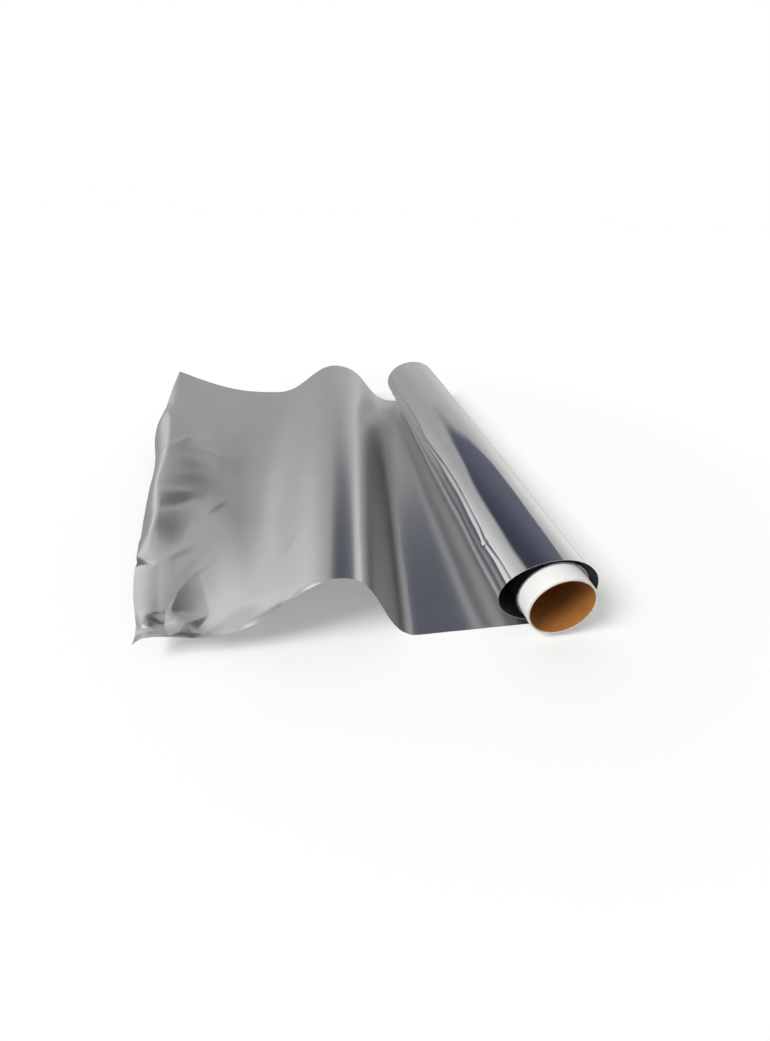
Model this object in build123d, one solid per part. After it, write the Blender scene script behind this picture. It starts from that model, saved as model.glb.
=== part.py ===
"""Household aluminium foil roll.

A paper core tube carries one strip of foil. The inner turns are tight, the outer turns have sprung
loose, and the free end is drawn out over the table in one slanting wave with its edge turned down.

X runs across the roll with the free end towards -X, Y runs along the tube, Z is up.
The origin is on the table, under the tube's axis, halfway along the foil.
All sizes are in millimetres.
"""
import os

from build123d import *

# Core tube
core_bore = 29.5
core_wall = 1.25
core_out_near = 10.0
core_out_far = 4.0

# Foil strip, thicker than real foil so that every turn has a wall
foil_width = 300.0
foil_t = 0.35

# Tight turns on the tube
core_clearance = 0.1
turn_clearance = 0.1
tight_turns = 2

# Loose turns: how far the outermost one stands off the tight turns on each side, at the two ends
loose_turns = 1
slack_below = 2.0
slack_above = 1.0
slack_right_near = 4.9
slack_right_far = 3.3
slack_left_near = 8.5
slack_left_far = 6.9
flat_spot = 5.0

# Free end: how far it is drawn out from the tube's axis, and the share of that which each stretch takes
# across the table, at the near end, the middle and the far end
drawn_out = 211.0
foot_near = 0.284
foot_far = 0.090
rise_share = (0.159, 0.202, 0.249)
fall_share = (0.267, 0.265, 0.263)
end_share = (0.104, 0.251, 0.379)
lip_share = (0.038, 0.052, 0.019)

# Heights of the free end above the table, how steeply it climbs to its ridge, and how far its lip then
# turns down, at the same three places; at the far corner the lip still climbs
crest_height = (37.5, 36.5, 34.6)
dip_height = (11.7, 11.0, 10.9)
ridge_height = (15.0, 24.5, 30.2)
ridge_climb = (0.0, 0.04, 0.45)
lip_drop = (4.0, 5.5, -1.6)

# How long the free end runs level at each end of a stretch, as a share of the stretch
rise_hold = 0.52
fall_hold = 0.38
end_hold = 0.4
lip_hold = 0.6

# Fineness of the free end: steps across the wave and bays along the roll
wave_steps = 24
tail_bays = 4

right_angle = 90
core_radius = core_bore / 2 + core_wall
turn_pitch = foil_t + turn_clearance
tight_radius = core_radius + core_clearance + foil_t / 2 + tight_turns * turn_pitch
axis_height = tight_radius + slack_below + foil_t / 2
near = -foil_width / 2
far = foil_width / 2


def turn_reaches(slack_right, slack_left):
    """Distances from the tube's axis to the strip's middle at each quarter turn, table first."""
    slack = (slack_below, slack_right, slack_above, slack_left)
    loose_quarters = 4 * loose_turns
    reaches = []
    for quarter in range(loose_quarters):
        share = 1 - (quarter // 4) / loose_turns
        reaches.append(tight_radius + slack[quarter % 4] * share)
    for quarter in range(4 * tight_turns + 1):
        reaches.append(tight_radius - turn_pitch * quarter / 4)
    return reaches


def turn_side(reaches, offset):
    """One side of the wound strip: quarter ellipses round the tube, set off from the strip's middle."""
    quarters = []
    for number in range(len(reaches) - 1):
        upright = reaches[number] + offset
        across = reaches[number + 1] + offset
        if number % 2:
            upright, across = across, upright
        centre = flat_spot if number == 0 else 0
        start = right_angle * (number % 4 - 1)
        middle = (centre, axis_height)
        reach = across - centre
        quarters.append(EllipticalCenterArc(middle, reach, upright, start, arc_size=right_angle))
    return quarters


def turn_section(y, slack_right, slack_left):
    """The spiral that all turns show in a plane across the roll."""
    reaches = turn_reaches(slack_right, slack_left)
    outer = turn_side(reaches, foil_t / 2)
    inner = turn_side(reaches, -foil_t / 2)
    start = Line(outer[0] @ 0, inner[0] @ 0)
    end = Line(outer[-1] @ 1, inner[-1] @ 1)
    return Plane.XZ.offset(-y) * make_face([*outer, *inner, start, end])


def parallel_curves(path, offset):
    """A smooth chain of short curves set off sideways from a path by the same amount all along."""
    stops = [step / wave_steps for step in range(wave_steps + 1)]
    headings = [path % stop for stop in stops]
    sideways = [heading.rotate(Axis.Z, -right_angle) * offset for heading in headings]
    points = [path @ stop + shift for stop, shift in zip(stops, sideways)]
    curves = []
    for number in range(wave_steps):
        start = points[number]
        end = points[number + 1]
        third = (end - start).length / 3
        leaving = start + headings[number] * third
        arriving = end - headings[number + 1] * third
        curves.append(Bezier(start, leaving, arriving, end))
    return curves


def along(values, share):
    """The value at a share of the way along the roll, from those at its near end, middle and far end."""
    at_near, at_middle, at_far = values
    bow = 4 * share * (1 - share)
    return at_near * (1 - share) + at_far * share + (at_middle - (at_near + at_far) / 2) * bow


def tail_section(share):
    """The free end's outline at a share of the way along: foot, crest, dip, ridge and turned-down lip."""
    level = foil_t / 2
    foot = drawn_out * (foot_near + (foot_far - foot_near) * share)
    crest_out = foot + drawn_out * along(rise_share, share)
    dip_out = crest_out + drawn_out * along(fall_share, share)
    ridge_out = dip_out + drawn_out * along(end_share, share)
    lip_out = drawn_out * along(lip_share, share)
    ridge = Vector(-ridge_out, along(ridge_height, share) - level)
    lip = ridge - Vector(lip_out, along(lip_drop, share))
    points = [
        Vector(-foot, level),
        Vector(-crest_out, along(crest_height, share) - level),
        Vector(-dip_out, along(dip_height, share) + level),
        ridge,
    ]
    climb = along(ridge_climb, share)
    stretches = []
    for start, end, hold, slope in zip(points, points[1:], (rise_hold, fall_hold, end_hold), (0, 0, climb)):
        run = (end.X - start.X) * hold
        stretches.append(Bezier(start, start + Vector(run, 0), end - Vector(run, -run * slope), end))
    lip_run = lip_out * lip_hold
    stretches.append(Bezier(ridge, ridge + Vector(-lip_run, lip_run * climb), lip))
    middle = Wire(stretches)
    upper = parallel_curves(middle, level)
    lower = parallel_curves(middle, -level)
    start = Line(upper[0] @ 0, lower[0] @ 0)
    end = Line(upper[-1] @ 1, lower[-1] @ 1)
    return Plane.XZ.offset(-near - foil_width * share) * make_face([*upper, *lower, start, end])


# Core tube
core_length = core_out_near + foil_width + core_out_far
core_section = Circle(core_radius) - Circle(core_bore / 2)
core_plane = Plane((0, near - core_out_near, axis_height), x_dir=(1, 0, 0), z_dir=(0, 1, 0))
core_tube = extrude(core_plane * core_section, core_length)

# Foil: the wound turns, the run that lies on the table, and the waved free end are one strip
turns = loft(
    [
        turn_section(near, slack_right_near, slack_left_near),
        turn_section(far, slack_right_far, slack_left_far),
    ],
    ruled=True,
)
run_outline = [
    (-drawn_out * foot_near, near),
    (flat_spot, near),
    (flat_spot, far),
    (-drawn_out * foot_far, far),
]
table_run = extrude(make_face(Polyline(*run_outline, close=True)), foil_t)
tail = loft([tail_section(number / tail_bays) for number in range(tail_bays + 1)], ruled=True)
foil = turns + table_run + tail

os.makedirs("parts", exist_ok=True)
export_step(core_tube, "parts/core_tube.step")
export_step(foil, "parts/foil.step")
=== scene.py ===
"""Looks of the aluminium foil roll: the wound foil with its waved free end, the paper core and the studio."""
import math

import bpy
import numpy as np
from bpy.props import FloatProperty, FloatVectorProperty, IntProperty, PointerProperty
from mathutils import Matrix, Vector
from mathutils.geometry import delaunay_2d_cdt


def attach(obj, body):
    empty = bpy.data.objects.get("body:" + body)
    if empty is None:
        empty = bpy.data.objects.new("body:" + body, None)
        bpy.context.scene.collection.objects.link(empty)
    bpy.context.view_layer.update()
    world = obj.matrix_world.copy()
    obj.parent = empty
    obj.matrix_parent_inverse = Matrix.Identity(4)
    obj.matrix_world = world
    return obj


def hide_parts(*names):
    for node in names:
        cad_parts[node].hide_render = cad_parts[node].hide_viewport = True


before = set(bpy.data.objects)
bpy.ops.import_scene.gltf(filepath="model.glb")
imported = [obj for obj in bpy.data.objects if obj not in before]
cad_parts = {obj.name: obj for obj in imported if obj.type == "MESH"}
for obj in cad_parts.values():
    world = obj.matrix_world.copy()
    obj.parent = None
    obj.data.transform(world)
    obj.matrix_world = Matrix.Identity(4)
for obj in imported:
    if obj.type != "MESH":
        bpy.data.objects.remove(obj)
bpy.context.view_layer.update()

bl_info = {
    "name": "Aluminium foil roll",
    "version": (1, 0, 0),
    "blender": (4, 5, 0),
    "location": "View3D > Sidebar > Foil Roll",
    "description": "Builds a household foil roll with a drawn-out, waved and crinkled free end",
    "category": "Object",
}

MM = 0.001


def length(name, description, default):
    """A size in metres, with the name and description a user reads."""
    return FloatProperty(name=name, description=description, default=default, unit="LENGTH", precision=5)


def number(name, description, default, **more):
    """A plain number, or one in the unit that more gives."""
    return FloatProperty(name=name, description=description, default=default, **more)


def three(name, description, default, unit="NONE"):
    """Three values: at the near end, the middle and the far end of the roll."""
    return FloatVectorProperty(
        name=name, description=description, default=default, size=3, unit=unit, precision=5
    )


def colour(name, description, default):
    """A linear colour."""
    return FloatVectorProperty(
        name=name, description=description, default=default, size=3, subtype="COLOR", min=0, max=1
    )


class FoilRollSizes(bpy.types.PropertyGroup):
    """Sizes of the core tube, the wound turns and the free end."""

    core_bore: length("Core bore", "Inside diameter of the paper core", 0.0295)
    core_wall: length("Core wall", "Wall of the paper core", 0.00125)
    core_near: length("Core near end", "Place of the core's bare end along the roll", -0.160)
    core_far: length("Core far end", "Place of the core's other end along the roll", 0.154)
    foil_width: length("Foil width", "Width of the foil strip", 0.300)
    foil_thickness: length("Foil thickness", "Thickness the foil is drawn with", 0.00012)
    axis_height: length("Axis height", "Height of the core's axis above the table", 0.01935)
    tight_radius: length("Tight radius", "Radius of the outermost tight turn", 0.017175)
    turn_pitch: length("Turn pitch", "Step from one tight turn to the next", 0.00045)
    slack_below: length("Slack below", "Room between the loose turn and the tight turns, below", 0.002)
    slack_above: length("Slack above", "Room between the loose turn and the tight turns, above", 0.001)
    slack_right: three("Slack right", "Room on the right", (0.0049, 0.0041, 0.0033), "LENGTH")
    slack_left: three("Slack left", "Room on the left", (0.0085, 0.0077, 0.0069), "LENGTH")
    flat_spot: length("Flat spot", "How far the roll lies flat beyond its axis", 0.005)
    drawn_out: length("Drawn out", "Reach of the free end from the core's axis", 0.211)
    foot_share: three("Foot", "Where the free end leaves the table, as a share of its reach", (0.284, 0.187, 0.090))
    rise_share: three("Rise", "Run from the table to the wave's crest", (0.159, 0.202, 0.249))
    fall_share: three("Fall", "Run from the crest to the dip", (0.267, 0.265, 0.263))
    end_share: three("End", "Run from the dip to the ridge by the free edge", (0.104, 0.251, 0.379))
    lip_share: three("Lip", "Run of the lip that turns down beyond the ridge", (0.038, 0.052, 0.019))
    crest_height: three("Crest height", "Height of the wave's crest", (0.0375, 0.0365, 0.0346), "LENGTH")
    dip_height: three("Dip height", "Height of the dip", (0.0117, 0.0110, 0.0109), "LENGTH")
    ridge_height: three("Ridge height", "Height of the ridge", (0.0150, 0.0245, 0.0302), "LENGTH")
    ridge_climb: three("Ridge climb", "How steeply the free end climbs to its ridge", (0.0, 0.04, 0.45))
    lip_drop: three("Lip drop", "How far the lip turns down", (0.0040, 0.0055, -0.0016), "LENGTH")
    level_runs: three("Level runs", "How long the wave stays level at each end of its stretches", (0.52, 0.41, 0.40))
    crinkle: number("Crinkle", "Strength of the crinkles by the free edge", 1.0, min=0)
    seed: IntProperty(name="Seed", description="Seed of the small stray creases", default=11)


class FoilRollFinish(bpy.types.PropertyGroup):
    """Colours and gloss of the foil and the core."""

    bright_colour: colour("Bright side", "Colour of the bright rolled side", (0.86, 0.87, 0.885))
    bright_roughness: number("Bright roughness", "Roughness of the bright side", 0.085)
    satin_colour: colour("Satin side", "Colour of the satin side", (0.80, 0.80, 0.80))
    satin_roughness: number("Satin roughness", "Roughness of the satin side", 0.28)
    paper_colour: colour("White paper", "Colour of the core's outer paper", (0.86, 0.855, 0.835))
    board_colour: colour("Brown board", "Colour of the core's board", (0.41, 0.168, 0.042))


class FoilRollStage(bpy.types.PropertyGroup):
    """Camera and light."""

    camera_place: FloatVectorProperty(
        name="Camera place",
        description="Where the camera stands",
        default=(-0.10595, -0.29653, 0.16417),
        unit="LENGTH",
    )
    camera_yaw: number("Yaw", "Turn of the camera to the right", 0.187, subtype="ANGLE")
    camera_pitch: number("Pitch", "How far the camera looks down", 0.591, subtype="ANGLE")
    camera_roll: number("Roll", "Lean of the camera", 0.042, subtype="ANGLE")
    camera_lens: number("Lens", "Focal length on a 36 mm sensor", 16.6, subtype="DISTANCE_CAMERA")
    floor_colour: colour("Floor", "Colour of the floor", (0.89, 0.885, 0.875))
    floor_lift: number("Floor lift", "White that the floor shows on top of its light", 0.15)
    key_strength: number("Key strength", "Strength of the key light", 2.3)
    key_azimuth: number("Key azimuth", "Where the key light stands, 0 behind and 90 right", -110)
    key_height: number("Key height", "Height of the key light in degrees", 43)
    key_softness: number("Key softness", "Breadth of the key light", 0.45, subtype="ANGLE")
    ambient: number("Ambient", "Level of the light from overhead", 0.52)
    ambient_low: number("Ambient low", "Level of the light from low down", 0.05)


def smooth_step(low, high, value):
    """0 below low, 1 above high, and an even slope between."""
    share = np.clip((value - low) / (high - low), 0, 1)
    return share * share * (3 - 2 * share)


def window(limits, value):
    """1 between the middle two of four limits, 0 beyond the outer two."""
    low, full, held, high = limits
    return smooth_step(low, full, value) * (1 - smooth_step(held, high, value))


def along(values, share):
    """The value at a share of the way along the roll, from those at its near end, middle and far end."""
    near, middle, far = values
    return near * (1 - share) + far * share + (middle - (near + far) / 2) * 4 * share * (1 - share)


# Columns across the strip: how far from the near edge their spacing changes, and how many lie in each stretch
COLUMN_STOPS = (0.004, 0.058, 0.210)
COLUMN_COUNTS = (5, 46, 64, 24)


def columns(sizes):
    """Places across the strip, closest together at the crumpled near corner."""
    half = sizes.foil_width / 2
    stops = (-half, *(stop - half for stop in COLUMN_STOPS), half)
    runs = [np.linspace(a, b, n + 1)[:-1] for a, b, n in zip(stops, stops[1:], COLUMN_COUNTS)]
    return np.concatenate([*runs, [half]])


def bezier(points, count):
    """A curve through one column, sampled in even steps of its parameter."""
    t = np.linspace(0, 1, count + 1)[:, None]
    if len(points) == 3:
        a, b, c = points
        return (1 - t) ** 2 * a + 2 * (1 - t) * t * b + t * t * c
    a, b, c, d = points
    return (1 - t) ** 3 * a + 3 * (1 - t) ** 2 * t * b + 3 * (1 - t) * t * t * c + t**3 * d


# How long the lip runs straight on from the ridge before it turns, as a share of its run
LIP_HOLD = 0.6

# Half the thickness of the solid strip, whose middle this strip follows
SOLID_HALF = 0.000175

# Rows of the free end: foot to crest, crest to dip, dip to ridge, then the lip, and rows of the run on the table
TAIL_ROWS = (26, 36, 66)
LIP_ROWS = 14
TABLE_ROWS = 10


def tail_column(sizes, share):
    """The free end in one plane across the roll, from the foot to the free edge: rows of x and z."""
    reach = sizes.drawn_out
    foot = reach * along(sizes.foot_share, share)
    crest = foot + reach * along(sizes.rise_share, share)
    dip = crest + reach * along(sizes.fall_share, share)
    ridge = dip + reach * along(sizes.end_share, share)
    lip = reach * along(sizes.lip_share, share)
    stops = [
        np.array((-foot, SOLID_HALF)),
        np.array((-crest, along(sizes.crest_height, share) - SOLID_HALF)),
        np.array((-dip, along(sizes.dip_height, share) + SOLID_HALF)),
        np.array((-ridge, along(sizes.ridge_height, share) - SOLID_HALF)),
    ]
    climb = along(sizes.ridge_climb, share)
    slopes = (0, 0, climb)
    rows = [stops[0][None]]
    for start, end, hold, slope, count in zip(stops, stops[1:], sizes.level_runs, slopes, TAIL_ROWS):
        run = (end[0] - start[0]) * hold
        leaving = start + np.array((run, 0))
        arriving = end - np.array((run, -run * slope))
        rows.append(bezier((start, leaving, arriving, end), count)[1:])
    top = stops[-1]
    turned = top - np.array((lip, along(sizes.lip_drop, share)))
    bend = top + np.array((-lip * LIP_HOLD, lip * LIP_HOLD * climb))
    rows.append(bezier((top, bend, turned), LIP_ROWS)[1:])
    return np.concatenate(rows)


# Turns of the strip, of which the outermost is loose, and the rows of the loose turn beyond its fold and of the rest
TURNS = 3
LOOSE_ROWS = 28
TIGHT_ROWS = 64

# Fold line of the loose turn: its row, half its groove's width as a share of the turn, where it runs, how deep the
# groove is, and the places along the roll between which the groove and the shade painted along it die out
FOLD_ROW = 56
GROOVE_TURN = 0.0028
FOLD_PLACES = (-0.150, -0.1375, -0.1265, -0.119, -0.109, -0.0855, -0.0635, -0.041, -0.0105, 0.0415, 0.150)
FOLD_TURNS = (0.661, 0.662, 0.671, 0.676, 0.667, 0.661, 0.661, 0.667, 0.688, 0.719, 0.740)
GROOVE_DEPTH = 0.0002
GROOVE_ENDS = (0.03, 0.08)
FOLD_SHADE_ENDS = (0.0, 0.10)


def turn_column(sizes, share, fold):
    """The wound turns in one plane across the roll, from the table inwards, with each row's share of the turns.

    fold is the share of the loose turn at which its fold line lies.
    """
    slack = (
        sizes.slack_below,
        along(sizes.slack_right, share),
        sizes.slack_above,
        along(sizes.slack_left, share),
    )
    quarters = 4 * TURNS
    reach = [sizes.tight_radius + room for room in slack]
    reach += [sizes.tight_radius - sizes.turn_pitch * n / 4 for n in range(quarters - 3)]
    reach = np.array(reach)
    before = np.linspace(0, fold - GROOVE_TURN, FOLD_ROW)
    beyond = np.linspace(fold + GROOVE_TURN, 1, LOOSE_ROWS)
    tight = np.linspace(4, quarters, TIGHT_ROWS + 1)[1:]
    steps = np.concatenate([4 * np.concatenate([before, [fold], beyond]), tight])
    quarter = np.minimum(steps.astype(int), quarters - 1)
    upright = np.where(quarter % 2 == 0, reach[quarter], reach[quarter + 1])
    across = np.where(quarter % 2 == 0, reach[quarter + 1], reach[quarter])
    centre = np.where(quarter == 0, sizes.flat_spot, 0)
    angle = (steps - 1) * math.pi / 2
    x = centre + (across - centre) * np.cos(angle)
    z = sizes.axis_height + upright * np.sin(angle)
    return np.stack((x, z), 1), steps / 4


# Crumpled near corner: distance from the free edge, place along the roll and height, in millimetres
CORNER_NET = (
    (44, -150, 0), (42, -140, 0), (36, -128, 0), (30, -108, 0), (16, -104, 0), (0, -108, 0), (0, -118, 0),
    (25.6, -113, 0.3), (20.2, -122, 0.6), (17, -132.5, 0.65), (31.8, -123, -0.3), (32.6, -135.8, -0.7),
    (14.6, -133.5, 0.4), (19.2, -139, 1.1), (22.8, -141, 1.4), (24.4, -146.5, 0.0), (20.5, -146.5, 0.3),
    (13.8, -143.3, -0.9), (13.7, -140, -1.1), (27.4, -144.5, -0.6), (5.2, -135, 0.9), (3.7, -138.5, 1.4),
    (3.2, -140, 1.4), (8.5, -142.6, -0.5), (9.6, -145.5, -1.4), (4.5, -143.8, -1.0), (0, -131, 0.2),
    (0, -141, 0.7), (0, -145, 0.2), (0, -150, 1.6), (2.8, -147, 0.2), (8, -150, -0.1), (12.9, -148, -0.4),
    (16, -150, -0.5), (24, -150, -0.6), (31, -149.5, -0.8), (29, -147.5, -0.5),
)

# Creases by the free edge: two ends as (distance from the edge, place along the roll), height and width of each side
CREASES = (
    ((12, 0), (27, 28), 1.0, 2.5, 9.0),
    ((10, -45), (29, -41), 0.35, 3.0, 9.0),
    ((11, -62), (27, -51), -0.45, 9.0, 4.0),
    ((36, -60), (45, -48), 0.35, 9.0, 3.0),
    ((28, -62), (21, -94), -0.18, 8.0, 10.0),
    ((16, -98), (27, -89), 0.35, 6.0, 4.0),
    ((8, -72), (5, -96), -0.3, 5.0, 5.0),
    ((0, -97), (8, -101), -1.0, 5.0, 3.5),
    ((20, 4), (38, 10), 0.15, 6.0, 7.0),
    ((18, -20), (34, -14), -0.18, 6.0, 7.0),
    ((14, -30), (30, -26), 0.08, 5.0, 6.0),
    ((100, -18), (112, -32), 0.10, 5.0, 5.0),
    ((84, -30), (105, -58), 0.10, 6.0, 7.0),
    ((70, -120), (86, -104), 0.12, 6.0, 9.0),
)


# How sharp the creases are at their lines, and how far past their ends they run on, as a share of their length
CREASE_SHARPNESS = 1.25
CREASE_RUN_ON = 0.25


def crease_field(edge, place):
    """Height of all the long creases at a distance from the free edge and a place along the roll."""
    height = np.zeros_like(edge)
    for (e0, p0), (e1, p1), rise, left, right in CREASES:
        run = np.array((e1 - e0, p1 - p0)) * MM
        reach = np.hypot(*run)
        run = run / reach
        de = edge - e0 * MM
        dp = place - p0 * MM
        share = np.clip((de * run[0] + dp * run[1]) / reach, -CREASE_RUN_ON, 1 + CREASE_RUN_ON)
        side = dp * run[0] - de * run[1]
        width = np.where(side > 0, left, right) * MM
        tent = np.clip(1 - np.abs(side) / width, 0, 1) ** CREASE_SHARPNESS
        taper = np.clip(1 - ((share - 0.5) / (0.5 + CREASE_RUN_ON)) ** 2, 0, 1)
        height += rise * MM * tent * taper
    return height


# Fold from which the lip by the free edge hangs: places along the roll, and how far out from the axis it runs there
LIP_FOLD_PLACES = (
    -0.096, -0.091, -0.085, -0.0785, -0.071, -0.062, -0.0525, -0.042, -0.0315,
    -0.021, -0.009, 0.004, 0.018, 0.030, 0.0415, 0.0655, 0.090,
)
LIP_FOLD_OUT = (
    0.1890, 0.1884, 0.1875, 0.1869, 0.1864, 0.1870, 0.1885, 0.1905, 0.1913,
    0.1910, 0.1912, 0.1927, 0.1943, 0.1962, 0.1983, 0.2038, 0.2075,
)

# That fold's height, the breadth of the slope inside it at the near end and beyond, the places between which it
# widens, how the slope fades, how steeply the lip hangs, and the places between which the fold rises and dies out
LIP_FOLD_HEIGHT = 0.0043
LIP_FOLD_BREADTH = (0.024, 0.030)
LIP_FOLD_WIDENS = (-0.060, -0.020)
LIP_FOLD_FADE = 1.7
LIP_FOLD_HANG = 0.62
LIP_FOLD_SPAN = (-0.104, -0.066, 0.045, 0.085)


def lip_fold(across, place):
    """Height of the crisp fold by the free edge and of the lip that hangs from it."""
    inward = across + np.interp(place, LIP_FOLD_PLACES, LIP_FOLD_OUT)
    narrow, broad = LIP_FOLD_BREADTH
    breadth = narrow + (broad - narrow) * smooth_step(*LIP_FOLD_WIDENS, place)
    rise = LIP_FOLD_HEIGHT * np.clip(1 - inward / breadth, 0, 1) ** LIP_FOLD_FADE
    hang = LIP_FOLD_HEIGHT + LIP_FOLD_HANG * inward
    return np.where(inward > 0, rise, hang) * window(LIP_FOLD_SPAN, place)


# Near part of the free end, where the ridge dies out: the places along the roll between which it is levelled, how far
# it is lowered and up to which distances from the free edge, and the low bump that fills the dip beside it
LEVEL_SPAN = (-0.150, -0.138, -0.075, -0.005)
LEVEL_DROP = 0.0040
LEVEL_REACH = (0.015, 0.052)
FILL_HEIGHT = 0.0030
FILL_CENTRE = 0.046
FILL_REACH = 0.028

# Where the lip is taken out again there: places along the roll, height, reach from the free edge and how it fades
NO_LIP_SPAN = (-0.149, -0.138, -0.110, -0.072)
NO_LIP_HEIGHT = 0.0038
NO_LIP_REACH = 0.012
NO_LIP_FADE = 1.6


def near_flat(edge, place):
    """Levels the free end between the dip and the free edge at its near end, where the ridge dies out."""
    lowered = -LEVEL_DROP * (1 - smooth_step(*LEVEL_REACH, edge))
    filled = FILL_HEIGHT / 2 * (1 + np.cos(math.pi * np.clip((edge - FILL_CENTRE) / FILL_REACH, -1, 1)))
    raised = NO_LIP_HEIGHT * np.clip(1 - edge / NO_LIP_REACH, 0, 1) ** NO_LIP_FADE
    return window(LEVEL_SPAN, place) * (lowered + filled) + window(NO_LIP_SPAN, place) * raised


# How far the crest of the wave leans to the right, as a slope, and how far beside the crest that reaches
CREST_LEAN = 0.11
CREST_REACH = 0.016


def crest_lean(sizes, across, place):
    """Leans the crest of the wave a little to the right."""
    share = place / sizes.foil_width + 0.5
    crest = sizes.drawn_out * (along(sizes.foot_share, share) + along(sizes.rise_share, share))
    beside = across + crest
    return -CREST_LEAN * beside * np.exp(-((beside / CREST_REACH) ** 2))


# What counts as inside a facet at its border
TOUCH = 1e-9


def net_field(edge, place):
    """Height of the crumpled corner: flat facets between the points of its net."""
    points = [Vector((e * MM, p * MM)) for e, p, _ in CORNER_NET]
    heights = np.array([h for _, _, h in CORNER_NET]) * MM
    _, _, facets, origin, _, _ = delaunay_2d_cdt(points, [], [], 0, TOUCH)
    height = np.zeros_like(edge)
    for facet in facets:
        corners = [origin[n][0] for n in facet]
        (ax, ay), (bx, by), (cx, cy) = (points[n] for n in corners)
        area = (by - cy) * (ax - cx) + (cx - bx) * (ay - cy)
        first = ((by - cy) * (edge - cx) + (cx - bx) * (place - cy)) / area
        second = ((cy - ay) * (edge - cx) + (ax - cx) * (place - cy)) / area
        shares = (first, second, 1 - first - second)
        inside = np.min(shares, axis=0) >= -TOUCH
        value = sum(share * heights[corner] for share, corner in zip(shares, corners))
        height = np.where(inside, value, height)
    return height


# Small stray creases: how many there are, the places along the roll where they lie, and in millimetres how far they
# spread from the free edge, their lengths, their widths and their usual height
STRAY_COUNT = 30
STRAY_PLACES = (-0.145, 0.13)
STRAY_SPREAD = 26
STRAY_LENGTHS = (5, 17)
STRAY_WIDTHS = (2.5, 6)
STRAY_HEIGHT = 0.09


def stray_field(sizes, edge, place):
    """Small stray creases, thickest by the free edge."""
    draw = np.random.default_rng(sizes.seed)
    height = np.zeros_like(edge)
    for _ in range(STRAY_COUNT):
        e0 = abs(draw.normal(0, STRAY_SPREAD)) * MM
        p0 = draw.uniform(*STRAY_PLACES)
        turn = draw.uniform(0, math.pi)
        reach = draw.uniform(*STRAY_LENGTHS) * MM
        width = draw.uniform(*STRAY_WIDTHS) * MM
        rise = draw.normal(0, STRAY_HEIGHT) * MM
        de = edge - e0
        dp = place - p0
        lengthwise = (de * math.cos(turn) + dp * math.sin(turn)) / reach
        side = np.abs(dp * math.cos(turn) - de * math.sin(turn)) / width
        height += rise * np.clip(1 - side, 0, 1) * np.clip(1 - lengthwise**2, 0, 1)
    return height


def lay_strip(sizes):
    """The whole strip: points by row and column, the distance along it and the row where the turns begin."""
    places = columns(sizes)
    shares = places / sizes.foil_width + 0.5
    folds = np.interp(places, FOLD_PLACES, FOLD_TURNS)
    tails, turns, turn_shares = [], [], []
    for share, fold in zip(shares, folds):
        tail = tail_column(sizes, share)[::-1]
        foot = tail[-1]
        run = np.linspace(foot[0], sizes.flat_spot, TABLE_ROWS)[1:-1]
        table = np.stack((run, np.full_like(run, foot[1])), 1)
        wound, turn_share = turn_column(sizes, share, fold)
        wound[:, 1] += foot[1] - wound[0, 1]
        tails.append(np.concatenate((tail, table)))
        turns.append(wound)
        turn_shares.append(turn_share)
    tail = np.stack(tails, 1)
    flat = np.concatenate((tail, np.stack(turns, 1)))
    points = np.stack((flat[..., 0], np.broadcast_to(places, flat.shape[:2]), flat[..., 1]), 2)
    bottom = len(tail)
    edge = edge_distance(points[:bottom])
    pull_edge(points, edge)
    crinkle_tail(sizes, points, edge)
    ripple_roll(points, bottom, np.stack(turn_shares, 1))
    distance = edge_distance(points)
    return points, distance[bottom] - distance, bottom


def unit(vectors):
    """Vectors brought to the length 1."""
    return vectors / np.linalg.norm(vectors, axis=-1, keepdims=True)


def surface_normals(points):
    """Normals of the strip's middle, on the satin side."""
    return unit(np.cross(np.gradient(points, axis=0), np.gradient(points, axis=1)))


def edge_distance(points):
    """Distance along the strip from its free edge."""
    steps = np.linalg.norm(np.diff(points, axis=0), axis=2)
    return np.concatenate((np.zeros((1, points.shape[1])), np.cumsum(steps, 0)))


# How far the free edge juts out at places along the roll, in millimetres
EDGE_PLACES = (
    -0.150, -0.145, -0.140, -0.130, -0.120, -0.105, -0.095, -0.085, -0.075, -0.065, -0.055, -0.045,
    -0.030, -0.018, -0.005, 0.008, 0.022, 0.036, 0.047, 0.056, 0.064, 0.080, 0.120, 0.150,
)
EDGE_OUT = (
    -1.4, -0.6, -1.5, 0.2, 1.5, 2.1, 2.6, 4.3, 7.6, 8.4, 7.5, 5.3,
    3.0, 1.8, 2.1, 3.1, 5.8, 7.8, 7.4, 4.8, 1.6, 0.7, 0.6, -0.4,
)


# How far in from the free edge that reaches, and how it fades
EDGE_REACH = 0.022
EDGE_FADE = 1.5


def pull_edge(points, edge):
    """The free edge isn't cut straight: it juts out and draws back a little along the roll."""
    place = points[0, :, 1]
    shift = -MM * np.interp(place, EDGE_PLACES, EDGE_OUT)
    weight = np.clip(1 - edge / EDGE_REACH, 0, 1) ** EDGE_FADE
    points[: len(edge), :, 0] += shift[None] * weight


# Soft sway of the free end: its height, and the heights above the table between which it sets in
SWAY_HEIGHT = 0.00018
SWAY_RISE = (0.002, 0.032)

# Curl of the near edge: its breadth, and for each curled stretch where it lies from the free edge and how far it dips
CURL_BREADTH = 0.003
CURLS = (((0.036, 0.054, 0.064, 0.0675), 0.0012), ((0.0685, 0.073, 0.080, 0.092), 0.0010))


def soft_sway(edge, place):
    """Slow sway of foil that isn't drawn tight."""
    broad = np.sin(place / 0.061 + 2.0) * np.sin(edge / 0.034 + 0.7)
    return broad + 0.6 * np.sin(place / 0.027 + edge / 0.05)


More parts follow.
